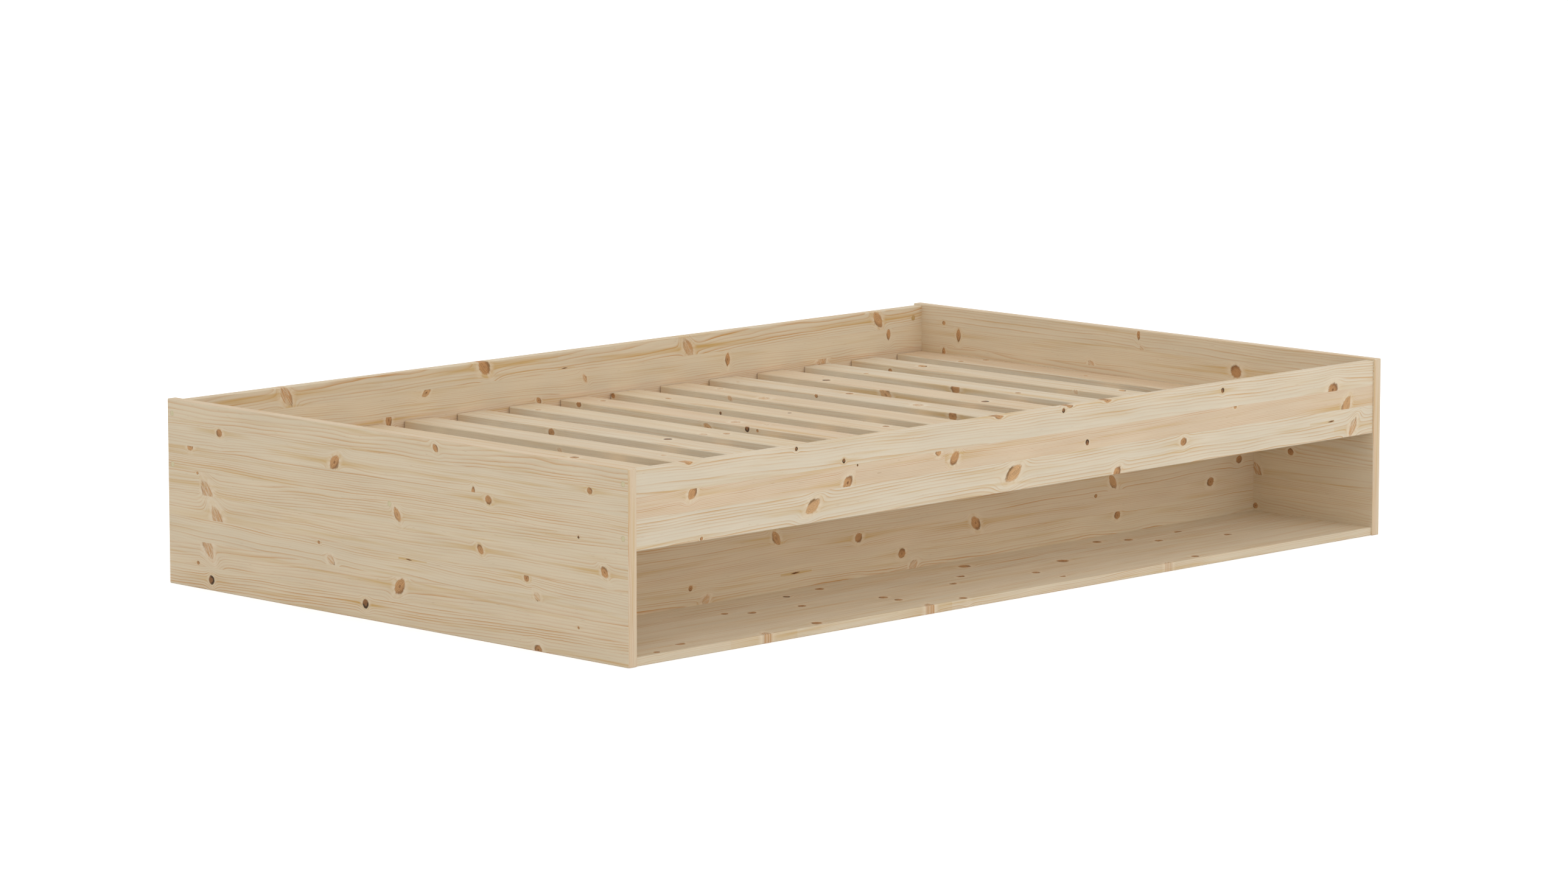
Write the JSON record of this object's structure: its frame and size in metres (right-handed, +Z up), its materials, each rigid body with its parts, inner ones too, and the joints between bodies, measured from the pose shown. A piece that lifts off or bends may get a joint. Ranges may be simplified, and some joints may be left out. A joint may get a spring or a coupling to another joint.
{
  "type": "floor bed",
  "caption": "Low pine floor bed with slatted base, solid end panels and an open storage niche along its front.",
  "frame": {"origin": "on the floor, under the middle of the bed", "axes": "+X along the bed's length, towards the right end panel; +Y from the niche side to the back; +Z up"},
  "size_m": [2.04, 1.25, 0.35],
  "materials": {
    "end_panels": "planed knotty pine, untreated",
    "rails": "planed knotty pine, untreated",
    "slats": "planed knotty pine, untreated",
    "niche_boards": "planed knotty pine, untreated",
    "battens": "planed pine, untreated",
    "beech_dowels": "turned beech",
    "caps": "matt moulded",
    "webbing": "woven webbing",
    "steel": "zinc plated",
    "cast_zinc": null
  },
  "bodies": {
    "root": {"back_ledger": "battens", "back_rail": "rails", "barrel_nuts": "steel", "bolt_caps": "caps", "cam_bolts": "steel", "cam_discs": "cast_zinc", "centre_beam": "battens", "centre_leg": "battens", "connector_bolts": "steel", "dowels": "beech_dowels", "end_panel_left": "end_panels", "end_panel_right": "end_panels", "front_ledger": "battens", "front_rail": "rails", "ledger_screws": "steel", "leg_screws": "steel", "niche_floor": "niche_boards", "niche_screws": "steel", "niche_wall": "niche_boards", "nut_caps": "caps", "ribbon_staples": "steel", "slat_01": "slats", "slat_02": "slats", "slat_03": "slats", "slat_04": "slats", "slat_05": "slats", "slat_06": "slats", "slat_07": "slats", "slat_08": "slats", "slat_09": "slats", "slat_10": "slats", "slat_11": "slats", "slat_12": "slats", "slat_13": "slats", "slat_14": "slats", "slat_15": "slats", "slat_pins": "steel", "slat_ribbon_back": "webbing", "slat_ribbon_front": "webbing"}
  },
  "joints": []
}
